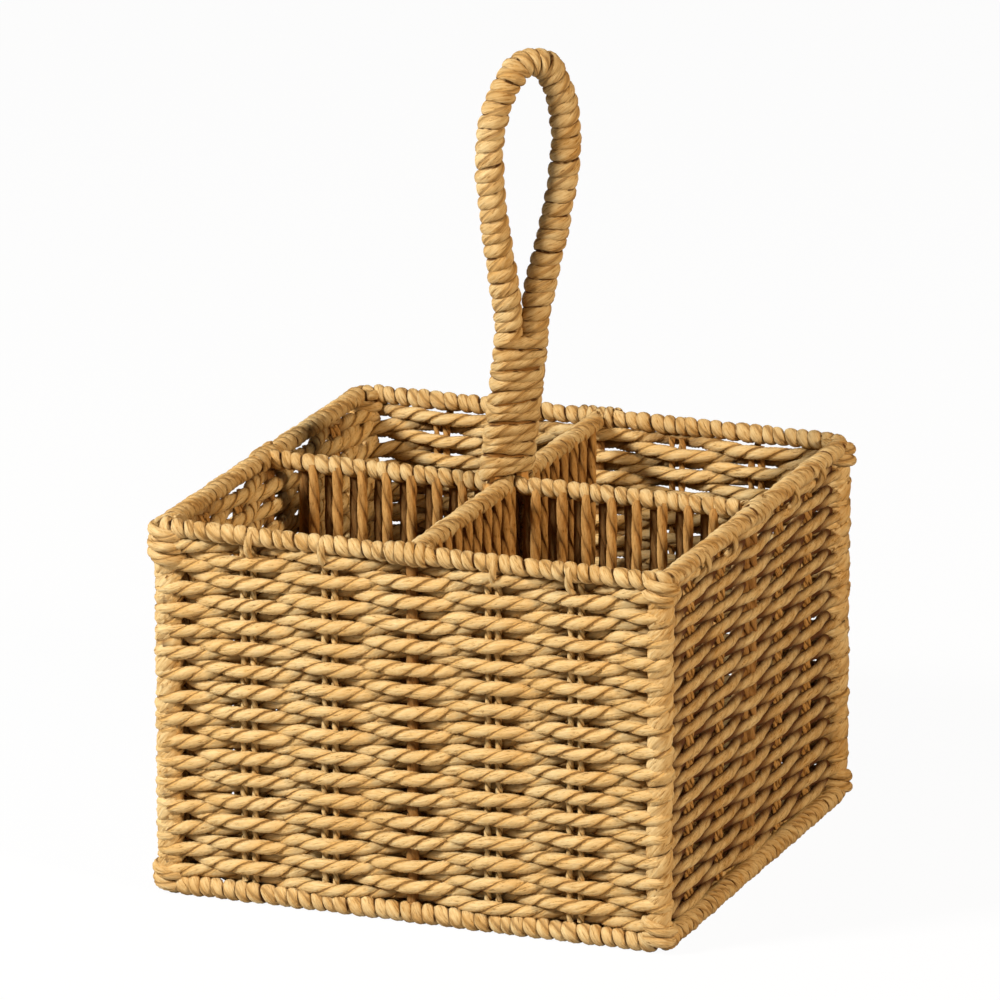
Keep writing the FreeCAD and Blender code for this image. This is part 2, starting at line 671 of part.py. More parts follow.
def handle():
    wire = size["handle_wire"] / 2
    bent_tube("handle_wire", handle_points(True), [wire])
    bent_tube("loop_winding", handle_points(False), [size["handle_roll"] / 2, wire + size["wire_fit"]])
    stem_winding()


# ---------------------------------------------------------------- the whole caddy

def check_and_export():
    for item in doc.Objects:
        failed = [state for state in item.State if state in ("Invalid", "Error")]
        if failed:
            raise RuntimeError(f"{item.Label} did not build: {failed}")
    for piece in nodes:
        if piece.Shape.isNull() or not piece.Shape.isValid() or piece.Shape.Volume <= 0:
            raise RuntimeError(f"{piece.Label} has no sound solid")
    os.makedirs("parts", exist_ok=True)
    for piece in nodes:
        piece.Shape.exportStep(f"parts/{piece.Label}.step")


wire_frame()
windings()
uprights()
woven_rope()
handle()
doc.recompute()
check_and_export()
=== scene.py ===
import math

import bpy
import numpy as np
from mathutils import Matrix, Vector


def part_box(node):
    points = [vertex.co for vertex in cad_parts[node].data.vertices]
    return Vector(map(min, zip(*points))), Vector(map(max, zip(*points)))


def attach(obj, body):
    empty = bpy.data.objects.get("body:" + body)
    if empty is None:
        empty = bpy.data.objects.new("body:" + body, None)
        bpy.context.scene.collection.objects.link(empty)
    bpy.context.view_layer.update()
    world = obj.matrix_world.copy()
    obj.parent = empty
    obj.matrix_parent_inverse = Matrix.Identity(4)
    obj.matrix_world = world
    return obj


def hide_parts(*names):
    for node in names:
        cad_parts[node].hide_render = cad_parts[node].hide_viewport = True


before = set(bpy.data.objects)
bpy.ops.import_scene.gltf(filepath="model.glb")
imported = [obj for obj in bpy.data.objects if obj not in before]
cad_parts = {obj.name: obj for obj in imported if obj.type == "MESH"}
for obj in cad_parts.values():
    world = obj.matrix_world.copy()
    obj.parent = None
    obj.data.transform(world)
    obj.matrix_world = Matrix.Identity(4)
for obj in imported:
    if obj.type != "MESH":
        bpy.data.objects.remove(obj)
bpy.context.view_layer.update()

# Lengths are millimetres, turned to metres where a piece is made. The studio's are metres.
# +X runs right along the front wall, +Y to the back, +Z up. Sides count front, right, back, left, and
# so do sizes that come four together. Rope work is laid out for the front and carried round.
MM = 0.001
TURN = 2 * math.pi
SIDES = ("front", "right", "back", "left")
CORNERS = ("front_left", "front_right", "back_right", "back_left")
RIGHT = (1, 0, 0)
UP = (0, 0, 1)
chance = np.random.default_rng(11)


# ---------------------------------------------------------------- places taken from the frame

def corners(name):
    """The low and the high corner of a CAD node's box."""
    low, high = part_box(name)
    return np.array(low) / MM, np.array(high) / MM


FRAME_WIRE = 3.0
ring_low, ring_high = corners("top_rim_wire")
RING = ring_high[0] - FRAME_WIRE / 2
RIM_LEVEL = (ring_low[2] + ring_high[2]) / 2
base_low, base_high = corners("base_rim_wire")
BASE_LEVEL = (base_low[2] + base_high[2]) / 2
CROSS_LEVEL = BASE_LEVEL + FRAME_WIRE
post_low, post_high = corners("corner_post_front_right")
POST = (post_low[0] + post_high[0]) / 2
weave_low, weave_high = corners("weave_front")
stake_low, stake_high = corners("stakes_front")
RIM_TOP = corners("rim_winding_front")[1][2]

# ---------------------------------------------------------------- sizes of the rope work

# Steps between the points of a line that cord is wound round
GUIDE_STEP = 1.0
FINE_GUIDE_STEP = 0.8

# Handwork: how far turns stray along a roll (in turns) and out from it, and how far a twist and a
# girth vary (as a share)
PLACE_DRIFT = 0.22
RADIUS_DRIFT = 0.28
LAY_DRIFT = 0.08
GIRTH_DRIFT = 0.05

# Rims and dividers: a roll is as thick as the wire with its cord, whose middle lies this far inside it
RIM_BEND = 7.0
RIM_ROLL = 7.7
FOOT_ROLL = RIM_ROLL + 0.5
CORD_INSET = 1.8
RIM_PITCH = 5.2
RIM_CORD = {"cover": 1.04, "thickness": 3.8, "lay": 15}
DIVIDER_PITCH = 5.3
DIVIDER_START = 1.0
DIVIDER_END = RING - 4.2
BINDING_PITCH = 3.9
BINDING_INSET = 0.3

# Paper strings that hang from each divider, on its two faces in turn
FIRST_STRING = 13.1
STRING_NUMBERS = range(-2, 15)
STRING_SWAY = 0.3
STRING_STEP = 1.6

# Stakes: pairs of thin cord, a little outside (front) or inside (other walls) the line of the posts
STAKE_STEPS = (-2, -1, 1, 2)
STAKE_SPACING = 34.0
STAKE_PAIR = 4.4
STAKE_SHIFT = 0.8
HOOK_LEANS = (0.8, -0.6, 0.7, -0.5)
UPRIGHT_STEP = 2.5
UPRIGHT_END = 0.4

# Two more ropes beside the right wall's stay: how far to each side, and how far inside the posts
STAY_ROPE_PLACE = 3.8
STAY_ROPE_DEPTH = 1.6

# Woven walls: how far a rope bows out before a stake and in behind one, and where it turns back
WEFT_ROWS = 31
WEFT_ROW_HEIGHT = 4.1
FIRST_ROW_DROP = 0.6
WEFT_ROPES = (6.0, 4.3, 5.9, 6.1)
WEFT_LAY = 20.0
WEFT_OUTWARD = (3.1, 1.7, 3.2, 2.9)
WEFT_INWARD = (3.5, 2.6, 3.4, 3.1)
WEFT_BOW_SHAPE = 1.25
WEFT_STATIONS = 37
WEFT_STEP = 1.7
WEFT_CLIMB = 15.0
TURN_BACK_ANGLES = (-60, -20, 20, 60)
TURN_BACK_INSET = 0.2

# How far a row strays: up and down in long waves, as a whole and in short waves, and in and out
LONG_DRIFT = 0.5
ROW_DRIFT = 0.35
SHORT_DRIFT = 0.6
DEPTH_DRIFT = 0.3

# Painted shade in a wall: how far a rope swings from the wall's middle where its back is darkest, how far
# from the middle the shade between two ropes ends, and how dark it gets
BEHIND_DEPTH = 2.8
MIDDLE_DEPTHS = (1.3, 2.5, 2.0, 2.0)
PAINTED_SHADE_SHARES = (0.38, 1.6, 0.75, 0.75)

# Corners: flat turns over the ropes' ends, for the front right, back right, back left and front left,
# and round cords that bind the posts, whose turns bulge and tilt
CORNER_ROLLS = (10.2, 10.8, 10.8, 10.4)
CORNER_INSET = 1.2
CORNER_PITCH = 7.2
KNOT_PITCH = 4.8
KNOT_START = 0.6
KNOT_BULGE = 0.9
KNOT_TILT = 0.6

# The base's weave
BASE_ROWS = 45
BASE_STATIONS = 35
BASE_INSET = 5.5
BASE_RISE = 3.3
BASE_BOW_SHAPE = 0.8
BASE_STEP = 2.4

# The handle: two legs, bound together as a stem, with a loop on them. Its roll is as thick as the wire
# with its cord, and turns lie closer on the crown of the loop
LEG_SPREAD = 9.62
LEG_SPACING = 11.4
HANDLE_TURN = math.radians(45)
HANDLE_LEAN = math.radians(4)
HANDLE_SHIFT = 0.2
HANDLE_ROLL = 10.8
STEM_FOOT = -2.6
STEM_LENGTH = 60.3
STEM_TURNS = 13
STEM_STEPS = 40
LOOP_PITCH = 5.2
CROWN_PITCH = 3.6
CROWN_HEIGHTS = (145, 163)

# How far the handle strays to one side, by height above the rim, as wire bent by hand does
STRAY_HEIGHTS = (0, 55, 72, 105, 140, 170)
STRAYS = (-1.0, 1.7, 1.0, 0, -1.0, -0.9)

# Half of the loop, from the stem to the crown: out from the middle, and above the rim
LOOP_HALF = (
    (5.5, 54), (5.9, 62), (7.4, 72), (9.8, 84), (12.3, 96.6), (14.5, 109.5), (16.1, 121), (16.75, 131),
    (16.3, 140), (14.7, 148), (12.3, 155), (8.8, 161.5), (4.2, 166),
)

# How much the loop's roll swells by height above the rim, and how much more on its right side
SWELL_HEIGHTS = (54, 62, 78, 105)
SWELLS = (0, 0.2, 0.5, 0.15)
SIDE_SWELL = 0.4


# ---------------------------------------------------------------- lines

def wobble(along, seed):
    """A slow, even-handed unevenness between -1 and 1, for hand work."""
    return (
        0.5 * np.sin(along * 0.61 + seed * 1.7)
        + 0.3 * np.sin(along * 1.37 + seed * 2.9)
        + 0.2 * np.sin(along * 2.71 + seed * 4.3)
    )


def gaps_in(line):
    """The distances from point to point."""
    return np.linalg.norm(np.diff(line, axis=0), axis=1)


def added_up(gaps):
    """What the gaps come to at each point, from nothing to the whole."""
    return np.concatenate([[0], np.cumsum(gaps)])


def read_along(places, along, rows):
    """Rows of three numbers that belong to points along a line, read at other places on it."""
    return np.column_stack([np.interp(places, along, rows[:, axis]) for axis in range(3)])


def even_steps(line, step):
    """The same line, with its points at even distances."""
    along = added_up(gaps_in(line))
    even = np.linspace(0, along[-1], max(2, int(round(along[-1] / step)) + 1))
    return read_along(even, along, line)


def straight_line(start, end, step, side=0):
    """A straight line to wind cord round, given for the front and set on another side."""
    return on_side(even_steps(np.array([start, end]), step), side)


def smooth_line(points, step):
    """A soft line through all the points, at even distances."""
    points = np.array(points, float)
    padded = np.vstack([2 * points[0] - points[1], points, 2 * points[-1] - points[-2]])
    share = np.linspace(0, 1, 8, endpoint=False)[:, None]
    parts = []
    for a, b, c, d in zip(padded, padded[1:], padded[2:], padded[3:]):
        straight = 2 * b + (c - a) * share
        curved = (2 * a - 5 * b + 4 * c - d) * share ** 2 + (3 * b - a - 3 * c + d) * share ** 3
        parts.append((straight + curved) / 2)
    return even_steps(np.vstack(parts + [points[-1:]]), step)


def on_side(line, side):
    """A line given for the front wall, carried round to another wall."""
    angle = side * math.pi / 2
    x, y, z = np.array(line, float).T
    return np.column_stack([
        x * math.cos(angle) - y * math.sin(angle),
        x * math.sin(angle) + y * math.cos(angle),
        z,
    ])


def coil(guide, flat_normal, radius, pitch, steps=16, seed=0):
    """A cord wound round a guide line that lies in one plane, turn beside turn: its line, and the way
    out from the guide at each of its points. Radius and pitch are numbers, or change along the guide."""
    gaps = gaps_in(guide)
    along = added_up(gaps)
    pitch = np.broadcast_to(pitch, along.shape)
    laid = added_up(gaps / ((pitch[1:] + pitch[:-1]) / 2))
    turns = round(laid[-1])
    turn = np.linspace(0, turns, turns * steps + 1)
    place = np.interp(turn + PLACE_DRIFT * wobble(turn * 1.3, seed), laid * turns / laid[-1], along)
    centre = read_along(place, along, guide)
    heading = read_along(place, along, np.gradient(guide, axis=0))
    heading /= np.linalg.norm(heading, axis=1)[:, None]
    up = np.array(flat_normal, float)
    across = np.cross(heading, up)
    angle = TURN * turn
    away = np.interp(place, along, np.broadcast_to(radius, along.shape))
    away = away + RADIUS_DRIFT * wobble(turn * 2.3, seed + 3)
    outward = np.cos(angle)[:, None] * up + np.sin(angle)[:, None] * across
    return centre + away[:, None] * outward, outward


# ---------------------------------------------------------------- rope

def strand_section(name, arc, groove, shoulder):
    """The outline of two strands laid together, one unit from its middle to each strand's crown. The
    groove between the strands and the shoulders beside it lie closer in. It starts at a groove."""
    outline = bpy.data.curves.new(name, "CURVE")
    outline.dimensions = "2D"
    half = [(-90, groove)] + [(angle, 1 - (1 - shoulder) * (abs(angle) / arc[-1]) ** 2) for angle in arc]
    around = half + [(angle + 180, reach) for angle, reach in half]
    # Run this way round, the outline gives a rope whose faces point outwards
    around = around[:1] + around[:0:-1]
    spline = outline.splines.new("POLY")
    spline.points.add(len(around) - 1)
    for point, (angle, reach) in zip(spline.points, around):
        angle = math.radians(angle)
        point.co = (reach * math.cos(angle), reach * math.sin(angle), 0, 1)
    spline.use_cyclic_u = True
    section = bpy.data.objects.new(name, outline)
    bpy.context.collection.objects.link(section)
    return section


STRAND_ARC = (-68, -41, -14, 14, 41, 68)
TWO_STRANDS = strand_section("two_strands", STRAND_ARC, groove=0.73, shoulder=0.9)
WORN_STRANDS = strand_section("worn_strands", STRAND_ARC, groove=0.9, shoulder=0.96)
FINE_STRANDS = strand_section("fine_strands", (-60, 0, 60), groove=0.62, shoulder=0.86)


def add_piece(name, data):
    """A new object, the only one that is selected."""
    piece = bpy.data.objects.new(name, data)
    bpy.context.collection.objects.link(piece)
    bpy.ops.object.select_all(action="DESELECT")
    piece.select_set(True)
    bpy.context.view_layer.objects.active = piece
    return piece


def lay_rope(name, lines, thickness, lay, section=TWO_STRANDS, unevenness=0.05):
    """A twisted rope along each line. The lay is the length of one full twist."""
    rope = bpy.data.curves.new(name, "CURVE")
    rope.dimensions = "3D"
    rope.bevel_mode = "OBJECT"
    rope.bevel_object = section
    rope.use_fill_caps = True
    lengths = []
    for line in lines:
        count = len(line)
        along = added_up(gaps_in(line))
        lengths.append(along[-1])
        seed = chance.uniform(0, 30)
        spline = rope.splines.new("POLY")
        spline.points.add(count - 1)
        spline.points.foreach_set("co", np.column_stack([line * MM, np.ones(count)]).ravel())
        strayed = along + LAY_DRIFT * lay * wobble(along / lay * 2, seed)
        spline.points.foreach_set("tilt", chance.uniform(0, TURN) - TURN * strayed / lay)
        plump = 1 + unevenness * wobble(along / lay * 3, seed + 5)
        spline.points.foreach_set("radius", thickness / 2 * MM * plump)
    add_piece(name, rope)
    bpy.ops.object.convert(target="MESH")
    bpy.ops.object.shade_smooth()
    piece = bpy.context.view_layer.objects.active
    # The map runs along the rope in centimetres and once round it, the same way as its strands
    layer = piece.data.uv_layers[0]
    flat = np.zeros(len(piece.data.loops) * 2)
    layer.data.foreach_get("uv", flat)
    flat[0::2] *= np.mean(lengths) / 10
    flat[1::2] = 1 - flat[1::2]
    layer.data.foreach_set("uv", flat)
    return piece


def note_painted_shade(piece, depths):
    """Write on a piece how much painted shade each of its points gets, for its material to read."""
    layer = piece.data.attributes.new("painted_shade", "FLOAT", "POINT")
    layer.data.foreach_set("value", depths)


def mark_painted_shade(piece, section, outward, middle, behind_depth, middle_depth, strength=0.7):
    """Note how much painted shade each spot of a rope gets where it lies deep among its neighbours: on faces
    that look back to the middle of the wall, the more the farther the rope swings from it, and near the
    middle, where the rope passes between two others. The wall's way out and the place of its middle are
    given, the depths at which the first shade is full and the second ends, and how dark the painted shade
    gets."""
    count = len(section.data.splines[0].points)
    places = np.zeros(len(piece.data.vertices) * 3)
    piece.data.vertices.foreach_get("co", places)
    away = (places.reshape(-1, 3) / MM) @ outward - middle
    rings = away.reshape(-1, count)
    centre = rings.mean(axis=1, keepdims=True)
    reach = np.abs(rings - centre).max(axis=1, keepdims=True)
    facing = np.clip(np.sign(centre) * (centre - rings) / reach, 0, 1)
    behind = facing * np.clip(np.abs(centre) / behind_depth, 0, 1)
    between = np.clip(1 - np.abs(rings) / middle_depth, 0, 1)
    note_painted_shade(piece, np.clip(np.maximum(behind, between) * strength, 0, 1).ravel())


def wind(name, strands, cover, thickness, lay, steps=16, seed=0, plump=0.06):
    """A soft rope pressed flat in its turns: each strand is a line with its way out at every point, and
    has as many steps to a turn as are given. It is as wide as its turns lie apart, times the cover."""
    around = 12
    angles = np.arange(around) / around * TURN
    places, faces, maps = [], [], []
    for line, outward in strands:
        first = len(places) * around
        heading = np.gradient(line, axis=0)
        side = np.cross(heading, outward)
        side /= np.linalg.norm(side, axis=1)[:, None]
        along = added_up(gaps_in(line))
        drift = GIRTH_DRIFT * wobble(along / 7, seed + 1.3)
        apart = np.linalg.norm(line[steps:] - line[:-steps], axis=1)
        before = np.concatenate([np.full(steps, apart[0]), apart])
        after = np.concatenate([apart, np.full(steps, apart[-1])])
        width = cover * (before + after) / 2
        for index, (spot, out, edge) in enumerate(zip(line, outward, side)):
            # Its two plies make it wider where they lie side by side and higher where they lie in a pile
            plies = 1 + plump * np.cos(2 * (angles + TURN * along[index] / lay))
            wide = width[index] / 2 * (1 + drift[index])
            high = thickness / 2 * (1 - drift[index])
            rise = (np.cos(angles) * high * plies)[:, None] * out
            reach = (np.sin(angles) * wide * plies)[:, None] * edge
            places.append(spot + rise + reach)
        for index in range(len(line) - 1):
            for step in range(around):
                low = first + index * around
                next_step = (step + 1) % around
                faces.append((low + step, low + next_step, low + around + next_step, low + around + step))
                u0, u1 = along[index] / 10, along[index + 1] / 10
                v0, v1 = step / around, (step + 1) / around
                maps += [u0, v0, u0, v1, u1, v1, u1, v0]
        last = first + (len(line) - 1) * around
        faces.append(tuple(first + step for step in reversed(range(around))))
        faces.append(tuple(last + step for step in range(around)))
        for end, order in ((0, reversed(range(around))), (along[-1] / 10, range(around))):
            for step in order:
                maps += [end, step / around]
    mesh = bpy.data.meshes.new(name)
    mesh.from_pydata((np.vstack(places) * MM).tolist(), [], faces)
    layer = mesh.uv_layers.new(name="UVMap")
    layer.data.foreach_set("uv", np.array(maps))
    piece = add_piece(name, mesh)
    bpy.ops.object.shade_smooth()
    return piece


def finish(piece, material, slot, *nodes):
    """Give a piece its material and its place in the frame."""
    piece.data.materials.clear()
    piece.data.materials.append(material)
    if nodes:
        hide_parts(*nodes)
    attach(piece, "root")


# ---------------------------------------------------------------- materials

def node(tree, kind, **settings):
    made = tree.nodes.new(kind)
    for name, value in settings.items():
        setattr(made, name, value)
    return made


def feed(tree, socket, value):
    """Link another node's output to a socket, or give the socket a number or colour of its own."""
    if isinstance(value, bpy.types.NodeSocket):
        tree.links.new(value, socket)
    else:
        socket.default_value = value


def sums(tree, operation, *values, clamp=False):
    """The result of a math node."""
    made = node(tree, "ShaderNodeMath", operation=operation, use_clamp=clamp)
    for place, value in enumerate(values):
        feed(tree, made.inputs[place], value)
    return made.outputs[0]


def ramp(tree, value, low, high, soft=False, bottom=0.0):
    """How far a value has come from low to high: from the bottom to one, straight or soft at both ends."""
    made = node(tree, "ShaderNodeMapRange", interpolation_type="SMOOTHSTEP" if soft else "LINEAR")
    for name, setting in (("Value", value), ("From Min", low), ("From Max", high), ("To Min", bottom)):
        feed(tree, made.inputs[name], setting)
    return made.outputs[0]


def noise(tree, place, scale, detail, roughness=0.5, distortion=0.0):
    made = node(tree, "ShaderNodeTexNoise")
    for name, setting in (
        ("Vector", place), ("Scale", scale), ("Detail", detail),
        ("Roughness", roughness), ("Distortion", distortion),
    ):
        feed(tree, made.inputs[name], setting)
    return made.outputs["Fac"]


def blend_colours(tree, share, first, second):
    made = node(tree, "ShaderNodeMix", data_type="RGBA")
    for place, value in ((0, share), (6, first), (7, second)):
        feed(tree, made.inputs[place], value)
    return made.outputs[2]


def raise_bumps(tree, shader, height, strength, distance):
    bump = node(tree, "ShaderNodeBump")
    for name, setting in (("Height", height), ("Strength", strength), ("Distance", distance)):
        feed(tree, bump.inputs[name], setting)
    tree.links.new(bump.outputs[0], shader.inputs["Normal"])


def twisted_paper_group():
    """Paper fibre that runs along a twisted strand, with painted shade in the creases where two strands meet.
    """
    group = bpy.data.node_groups.new("twisted_paper", "ShaderNodeTree")
    for kind, way, names in (
        ("NodeSocketColor", "INPUT", ("Light", "Middle", "Dark")),
        ("NodeSocketFloat", "INPUT", ("Wrinkle length", "Wrinkles round", "Slant", "Twists per cm")),
        ("NodeSocketFloat", "INPUT", ("Crease depth and shade", "Seam shade")),
        ("NodeSocketColor", "OUTPUT", ("Colour",)),
        ("NodeSocketFloat", "OUTPUT", ("Height", "Roughness")),
    ):
        for name in names:
            group.interface.new_socket(name, in_out=way, socket_type=kind)
    inner = group.nodes.new("NodeGroupInput")
    outer = group.nodes.new("NodeGroupOutput")
    object_place = node(group, "ShaderNodeTexCoord").outputs["Object"]
    uv = node(group, "ShaderNodeUVMap", uv_map="UVMap")
    apart = node(group, "ShaderNodeSeparateXYZ")
    feed(group, apart.inputs[0], uv.outputs[0])
    along, around = apart.outputs[0], apart.outputs[1]

    # Round the strand the fibre pattern follows a circle, so that it meets itself
    angle = sums(group, "MULTIPLY_ADD", around, TURN, sums(group, "MULTIPLY", along, inner.outputs["Slant"]))
    ring_size = sums(group, "DIVIDE", inner.outputs["Wrinkles round"], TURN)
    spot = node(group, "ShaderNodeCombineXYZ")
    feed(group, spot.inputs[0], sums(group, "MULTIPLY", along, inner.outputs["Wrinkle length"]))
    feed(group, spot.inputs[1], sums(group, "MULTIPLY", sums(group, "COSINE", angle), ring_size))
    feed(group, spot.inputs[2], sums(group, "MULTIPLY", sums(group, "SINE", angle), ring_size))
    fibre = noise(group, spot.outputs[0], 1.0, 4.0, roughness=0.7, distortion=0.4)
    wrinkle = ramp(group, fibre, 0.36, 0.60)
    flecks = ramp(group, fibre, 0.42, 0.33)
    tone = ramp(group, noise(group, object_place, 55.0, 4.0, roughness=0.6), 0.32, 0.68)

    # The plies meet where the map starts and half-way round, or, in a rope that is pressed flat, on a
    # line that winds round it
    twist = sums(group, "MULTIPLY_ADD", along, inner.outputs["Twists per cm"], around)
    ragged = sums(group, "MULTIPLY_ADD", fibre, 0.10, twist)
    side = sums(group, "ABSOLUTE", sums(group, "COSINE", sums(group, "MULTIPLY", ragged, TURN)))
    crease = ramp(group, side, 0.955, 1.0, soft=True)
    # A crease is open in some places and pressed shut in others; it is cut in as a groove and darkened with
    # painted shade
    broken = sums(group, "MULTIPLY_ADD", tone, 0.5, 0.5)
    crease_shade_and_groove = sums(group, "MULTIPLY", crease, broken)
    crease_shade_and_groove = sums(group, "MULTIPLY", crease_shade_and_groove, inner.outputs["Crease depth and shade"])

    # Turns that lie side by side meet on the flanks of the rope, and part here and there, where painted shade
    # darkens the gap
    flank = sums(group, "ABSOLUTE", sums(group, "SINE", sums(group, "MULTIPLY", around, TURN)))
    seam = ramp(group, flank, 0.76, 0.93, soft=True)
    open_here = ramp(group, noise(group, object_place, 210.0, 1.0), 0.46, 0.56, bottom=0.1)
    painted_seam_shade = sums(group, "MULTIPLY", seam, open_here)
    painted_seam_shade = sums(group, "MULTIPLY", painted_seam_shade, inner.outputs["Seam shade"])

    # The paper is light on its wrinkles, and painted shade makes it browner where it dips towards a neighbour
    share = sums(group, "MULTIPLY_ADD", wrinkle, 0.55, sums(group, "MULTIPLY", tone, 0.55))
    dip = ramp(group, side, 0.70, 1.0, soft=True)
    painted_dip_shade = sums(group, "MULTIPLY", dip, inner.outputs["Crease depth and shade"])
    share = sums(group, "MULTIPLY", share, sums(group, "SUBTRACT", 1.0, painted_dip_shade), clamp=True)
    paper = blend_colours(group, share, inner.outputs["Middle"], inner.outputs["Light"])

    # Dark are flecks in the paper, and painted shade in creases, in the gaps between turns, and on the spots
    # that lie deep among their neighbours
    painted_shade = node(group, "ShaderNodeAttribute", attribute_name="painted_shade")
    shade = sums(group, "MAXIMUM", crease_shade_and_groove, sums(group, "MULTIPLY", flecks, 0.6))
    shade = sums(group, "MAXIMUM", shade, painted_seam_shade)
    shade = sums(group, "MAXIMUM", shade, painted_shade.outputs["Fac"])
    feed(group, outer.inputs["Colour"], blend_colours(group, shade, paper, inner.outputs["Dark"]))
    relief = sums(group, "MULTIPLY_ADD", crease_shade_and_groove, -1.3, sums(group, "MULTIPLY", fibre, 1.6))
    feed(group, outer.inputs["Height"], relief)
    feed(group, outer.inputs["Roughness"], sums(group, "MULTIPLY_ADD", wrinkle, -0.16, 0.82))
    return group


LIGHT_TAN = (0.745, 0.565, 0.285, 1)
WEFT_TAN = (0.63, 0.37, 0.115, 1)
TAN = (0.50, 0.265, 0.065, 1)
# Darker paper for the strings and cords that lie in shade inside the caddy and behind the walls: painted
# shade
SHADED_STRING_LIGHT_TAN = (0.60, 0.345, 0.115, 1)
SHADED_STRING_TAN = (0.34, 0.155, 0.034, 1)
# A dark brown for flecks in the paper, and for painted shade in creases, gaps and deep spots
FLECK_AND_SHADE_BROWN = (0.10, 0.033, 0.005, 1)
PAINT_TAN = (0.68, 0.37, 0.10, 1)
SCUFFED_PAINT = (0.46, 0.22, 0.055, 1)
PAPER_SHINE = 0.14
twisted_paper = twisted_paper_group()


def paper_material(
    name, light=LIGHT_TAN, middle=TAN, length=2.6, around=20.0, slant=2.4, twists=0.0, crease=0.5, seam=0.0
):
    """A matt paper cord with its own colours and size of wrinkle."""
    material = bpy.data.materials.new(name)
    material.use_nodes = True
    tree = material.node_tree
    tree.nodes.clear()
    output = node(tree, "ShaderNodeOutputMaterial")
    shader = node(tree, "ShaderNodeBsdfPrincipled")
    paper = node(tree, "ShaderNodeGroup", node_tree=twisted_paper)
    for key, value in (
        ("Light", light), ("Middle", middle), ("Dark", FLECK_AND_SHADE_BROWN),
        ("Wrinkle length", length), ("Wrinkles round", around), ("Slant", slant),
        ("Twists per cm", twists), ("Crease depth and shade", crease), ("Seam shade", seam),
    ):
        feed(tree, paper.inputs[key], value)
    feed(tree, shader.inputs["Specular IOR Level"], PAPER_SHINE)
    feed(tree, shader.inputs["Base Color"], paper.outputs["Colour"])
    feed(tree, shader.inputs["Roughness"], paper.outputs["Roughness"])
    raise_bumps(tree, shader, paper.outputs["Height"], strength=0.9, distance=0.0007)
    feed(tree, output.inputs[0], shader.outputs[0])
    return material


def painted_wire_material():
    """Tan paint on steel wire, a little uneven and scuffed."""
    material = bpy.data.materials.new("tan_painted_wire")
    material.use_nodes = True
    tree = material.node_tree
    shader = tree.nodes["Principled BSDF"]
    place = node(tree, "ShaderNodeTexCoord")
    mottle = noise(tree, place.outputs["Object"], 240.0, 5.0)
    feed(tree, shader.inputs["Base Color"], blend_colours(tree, mottle, SCUFFED_PAINT, PAINT_TAN))
    feed(tree, shader.inputs["Roughness"], sums(tree, "MULTIPLY_ADD", mottle, 0.3, 0.32))
    raise_bumps(tree, shader, mottle, strength=0.25, distance=0.0002)
    return material


weft_paper = paper_material("weft_paper", middle=WEFT_TAN, length=2.4, slant=2.0, crease=0.85)
# The right wall's paper has shallower creases and the darker middle tan: painted shade for the wall that
# faces away from the key light
worn_shaded_paper = paper_material("worn_shaded_weft_paper", length=2.4, slant=2.0, crease=0.22)
rim_paper = paper_material("rim_paper", twists=0.67, seam=0.95)
handle_paper = paper_material("handle_paper", twists=0.475, seam=0.95)
knot_paper = paper_material("knot_paper", around=18.0)
corner_paper = paper_material("corner_paper", twists=0.29, crease=0.3, seam=0.5)
# Strings and cords that lie in shade take this darker paper: painted shade
shaded_string_paper = paper_material(
    "shaded_string_paper", light=SHADED_STRING_LIGHT_TAN, middle=SHADED_STRING_TAN, length=2.4, around=14.0, slant=2.0, crease=0.65
)
painted_wire = painted_wire_material()


# ---------------------------------------------------------------- woven walls

def bow(stations, shape):
    """How far a rope lies out at each station across a wall: 1 before one stake, -1 behind the next."""
    wave = np.cos(math.pi * stations / STAKE_SPACING)
    return np.sign(wave) * np.abs(wave) ** shape


def weft_line(side):
    """One rope, back and forth between two corner posts, before one stake and behind the next."""
    pitch = (weave_high[2] - weave_low[2] - WEFT_ROW_HEIGHT + FIRST_ROW_DROP) / (WEFT_ROWS - 1)
    first = weave_low[2] + WEFT_ROW_HEIGHT / 2 - FIRST_ROW_DROP
    outward, inward = WEFT_OUTWARD[side], WEFT_INWARD[side]
    stations = np.linspace(-POST, POST, WEFT_STATIONS)
    points = []
    for row in range(WEFT_ROWS):
        last = row == WEFT_ROWS - 1
        outer = (row + side) % 2 == 0
        hand = 1 if outer else -1
        level = first + row * pitch
        out = -hand * bow(stations, WEFT_BOW_SHAPE)
        out = out * np.where(out > 0, outward, inward)
        out += DEPTH_DRIFT * wobble(stations / 15 + row * 1.3, side)
        drift = LONG_DRIFT * wobble(stations / 26 + level / 21, side * 3.1)
        drift = drift + ROW_DRIFT * chance.uniform(-1, 1)
        drift = drift + SHORT_DRIFT * wobble(stations / 9 + row * 2.3, side + 0.7)
        height = level + drift
        if not outer:
            if row > 0:
                height -= pitch * np.clip(1 - (POST - stations) / WEFT_CLIMB, 0, 1)
            if not last:
                height += pitch * np.clip(1 - (stations + POST) / WEFT_CLIMB, 0, 1)
        run = np.column_stack([stations, -POST - out, height])
        points += list(run[::hand])
        if last:
            break
        # Round the post and back
        turn_level = level if outer else level + pitch
        reach = outward - TURN_BACK_INSET
        for angle in TURN_BACK_ANGLES:
            swing = math.radians(hand * angle)
            across = hand * (POST + reach * math.cos(swing))
            points.append((across, -POST + reach * math.sin(swing), turn_level))
    return on_side(smooth_line(points, WEFT_STEP), side)


